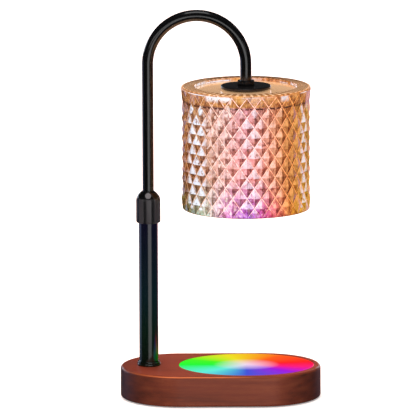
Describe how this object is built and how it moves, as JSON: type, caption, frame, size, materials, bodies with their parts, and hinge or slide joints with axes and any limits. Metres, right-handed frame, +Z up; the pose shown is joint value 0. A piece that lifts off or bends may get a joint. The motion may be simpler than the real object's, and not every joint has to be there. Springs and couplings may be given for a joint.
{
  "type": "candle warmer lamp",
  "caption": "Candle warmer lamp: wooden base with a lit plate, telescoping post, and a bent neck that swings a cut-glass shade and reflector bulb over the candle.",
  "frame": {"origin": "on the resting plane, under the middle of the base", "axes": "+Z up, +X from the post towards the candle, -Y the front"},
  "size_m": [0.201, 0.1298, 0.3927],
  "materials": {
    "stained_wood": "stained dark red-brown, satin lacquer",
    "fibreboard": "dark fibreboard panel",
    "opal_plate": "opal acrylic, lit from below",
    "rubber": "black rubber",
    "cast_iron": "as cast, painted",
    "zinc_steel": "zinc plated",
    "circuit_board": "white solder mask",
    "chip_plastic": "moulded epoxy",
    "led_resin": "clear resin over the dies",
    "black_enamel": "gloss black enamel",
    "black_satin": "satin black powder coat",
    "nickel_plate": "satin nickel plated",
    "black_plastic": "moulded black plastic, light gloss",
    "grey_plastic": "grey moulded plastic",
    "nylon": "natural nylon",
    "spring_steel": "drawn spring wire",
    "amber_glass": "pressed amber glass with an iridescent coat",
    "ceramic": "steatite",
    "brass": "stamped",
    "bulb_ceramic": "cement and steatite",
    "reflector_glass": "faceted glass cup, mirrored inside",
    "clear_glass": "clear, polished"
  },
  "bodies": {
    "stand": {"base_body": "stained_wood", "bottom_cover": "fibreboard", "cover_screws": "zinc_steel", "rubber_feet": "rubber", "counterweight": "cast_iron", "weight_screws": "zinc_steel", "light_plate": "opal_plate", "led_board": "circuit_board", "leds": "led_resin", "board_standoffs": "brass", "board_screws": "zinc_steel", "control_board": "circuit_board", "control_pillars": "nylon", "control_parts": "chip_plastic", "cable_gland": "rubber", "lower_tube": "black_enamel", "foot_ring": "black_enamel", "post_washer": "zinc_steel", "post_nut": "zinc_steel", "collet": "nylon"},
    "twist_collar": {"lock_collar": "black_plastic", "button_spring": "spring_steel"},
    "button": {"lock_button": "grey_plastic"},
    "glide": {"neck_glide": "nylon"},
    "swing_neck": {"neck": "black_enamel", "glide_clips": "spring_steel", "neck_nut": "black_satin", "cap_disc": "black_satin", "top_gasket": "rubber", "glass_shade": "amber_glass", "lower_gasket": "rubber", "clamp_washer": "zinc_steel", "clamp_nut": "zinc_steel", "holder_cap": "nickel_plate", "lamp_holder": "ceramic", "holder_screws": "zinc_steel", "holder_contacts": "brass", "bulb_base": "bulb_ceramic", "bulb_pins": "brass", "bulb_reflector": "reflector_glass", "bulb_lens": "clear_glass", "bulb_capsule": "clear_glass"}
  },
  "joints": [
    {"name": "height_slide", "type": "slide", "parent": "stand", "child": "glide", "axis": [0, 0, 1], "range_m": [-0.05, 0.06]},
    {"name": "neck_swivel", "type": "hinge", "parent": "glide", "child": "swing_neck", "pos_m": [-0.072, 0, 0.098], "axis": [0, 0, 1], "range_deg": [-45, 45]},
    {"name": "collar_twist", "type": "hinge", "parent": "stand", "child": "twist_collar", "pos_m": [-0.072, 0, 0.19], "axis": [0, 0, 1], "range_deg": [0, 90]},
    {"name": "button_press", "type": "slide", "parent": "twist_collar", "child": "button", "axis": [0, 1, 0], "range_m": [0, 0.0009], "stiffness_N_per_m": 400, "springref_m": -0.001, "deforming": ["button_spring"]}
  ]
}
